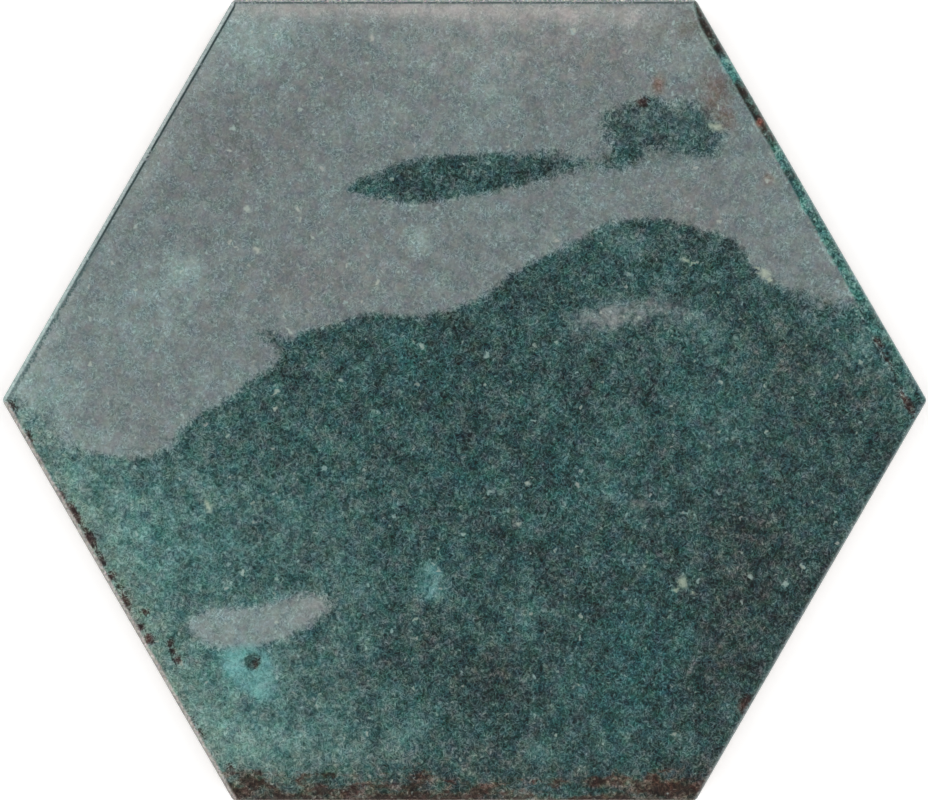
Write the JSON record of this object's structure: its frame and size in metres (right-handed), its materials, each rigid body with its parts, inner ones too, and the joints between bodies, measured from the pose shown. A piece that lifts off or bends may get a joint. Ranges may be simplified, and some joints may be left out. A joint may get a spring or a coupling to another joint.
{
  "type": "hexagonal glazed tile",
  "caption": "Flat hexagonal glazed ceramic tile with a rounded pressed edge and a honeycomb-keyed back, for facing walls and floors.",
  "frame": {"origin": "middle of the bedding plane, which is the plane of the ribs on the underside", "axes": "+Z out of the glazed face, +X towards one corner, +Y towards the middle of one straight side"},
  "size_m": [0.2766, 0.24, 0.01],
  "materials": {
    "glazed_body": "satin"
  },
  "bodies": {
    "root": {"tile": "glazed_body"}
  },
  "joints": []
}
